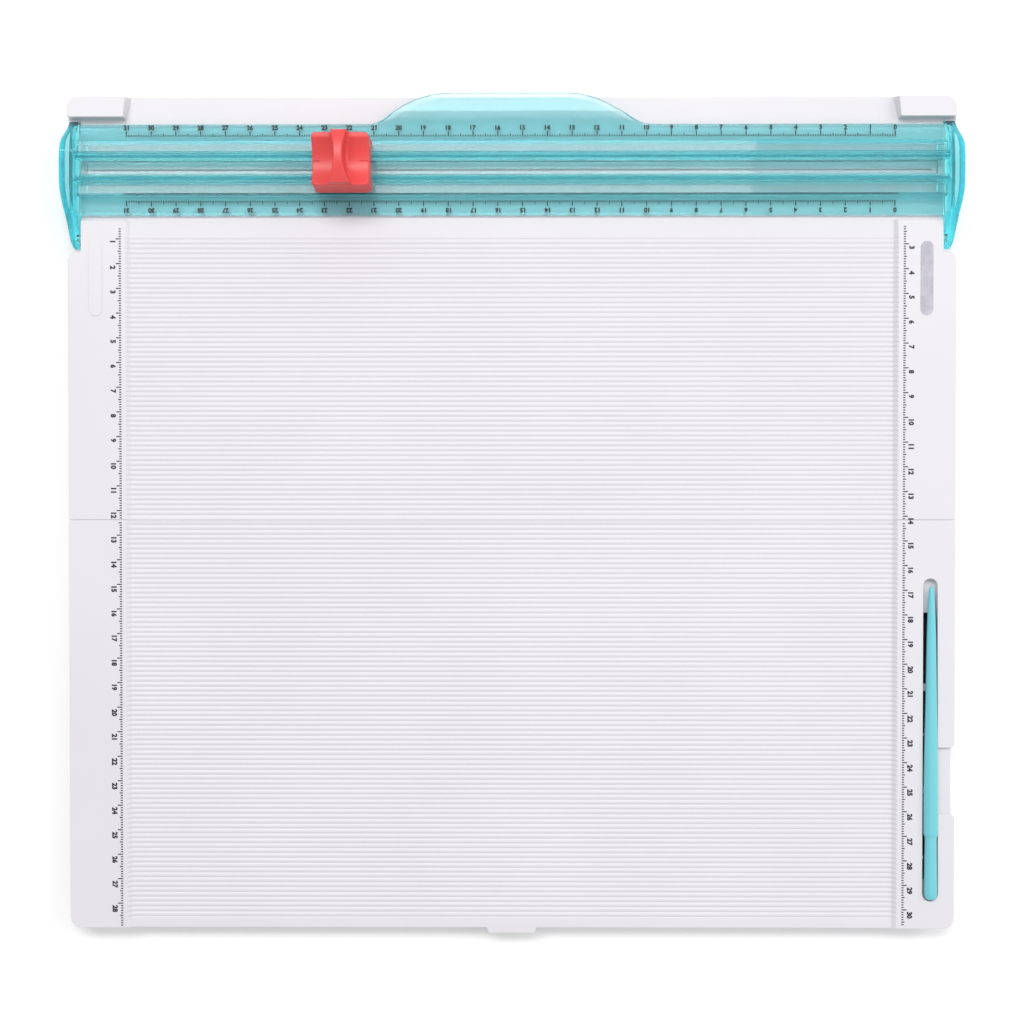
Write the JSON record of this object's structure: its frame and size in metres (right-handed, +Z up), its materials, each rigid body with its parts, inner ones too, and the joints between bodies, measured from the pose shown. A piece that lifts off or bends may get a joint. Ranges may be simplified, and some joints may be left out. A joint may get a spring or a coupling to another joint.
{
  "type": "paper trimmer and scoring board",
  "caption": "Folding scoring board with a hinged clear rail, a sliding press-down blade carriage, printed centimetre rulers and a stored stylus.",
  "frame": {"origin": "on the table, under the middle of the whole object", "axes": "+X to the right along the rail, +Y from the front edge to the rail at the rear, +Z up"},
  "size_m": [0.361, 0.3404, 0.038],
  "materials": {
    "white_plastic": "satin moulded",
    "clear_blue_plastic": "clear tinted, polished",
    "stylus_plastic": "satin",
    "red_plastic": "satin moulded",
    "strip_plastic": "matte",
    "shoe_plastic": "matte",
    "steel": "ground",
    "foot_rubber": "matte",
    "black_print": "printed ink",
    "grey_print": "printed ink"
  },
  "bodies": {
    "rear_half": {"rear_board_half": "white_plastic", "cutting_strip": "strip_plastic", "left_fold_pin": "steel", "right_fold_pin": "steel", "rear_half_foot_left_1": "foot_rubber", "rear_half_foot_left_2": "foot_rubber", "rear_half_foot_right_1": "foot_rubber", "rear_half_foot_right_2": "foot_rubber"},
    "front_half": {"front_board_half": "white_plastic", "front_half_foot_left_1": "foot_rubber", "front_half_foot_left_2": "foot_rubber", "front_half_foot_right_1": "foot_rubber", "front_half_foot_right_2": "foot_rubber"},
    "stylus": {"scoring_stylus": "stylus_plastic"},
    "rail": {"cutter_rail": "clear_blue_plastic", "left_rail_end_cap": "clear_blue_plastic", "right_rail_end_cap": "clear_blue_plastic", "left_rail_pivot_pin": "steel", "right_rail_pivot_pin": "steel"},
    "carriage": {"slide_shoe": "shoe_plastic", "left_return_spring": "steel", "right_return_spring": "steel"},
    "knob": {"press_knob": "red_plastic", "blade_holder": "shoe_plastic", "trim_blade": "steel", "blade_pin": "steel"}
  },
  "joints": [
    {"name": "board_fold", "type": "hinge", "parent": "rear_half", "child": "front_half", "pos_m": [0, -0.0019, 0.0027], "axis": [1, 0, 0], "range_deg": [0, 180]},
    {"name": "rail_lift", "type": "hinge", "parent": "rear_half", "child": "rail", "pos_m": [0, 0.113, 0.0076], "axis": [1, 0, 0], "range_deg": [0, 90]},
    {"name": "carriage_slide", "type": "slide", "parent": "rail", "child": "carriage", "axis": [1, 0, 0], "range_m": [-0.091, 0.225]},
    {"name": "knob_press", "type": "slide", "parent": "carriage", "child": "knob", "axis": [0, 0, -1], "range_m": [0, 0.0025], "stiffness_N_per_m": 600, "springref_m": -0.003, "deforming": ["left_return_spring", "right_return_spring"]},
    {"name": "stylus_lift", "type": "slide", "parent": "front_half", "child": "stylus", "axis": [0, 0, 1], "range_m": [0, 0.03]}
  ]
}
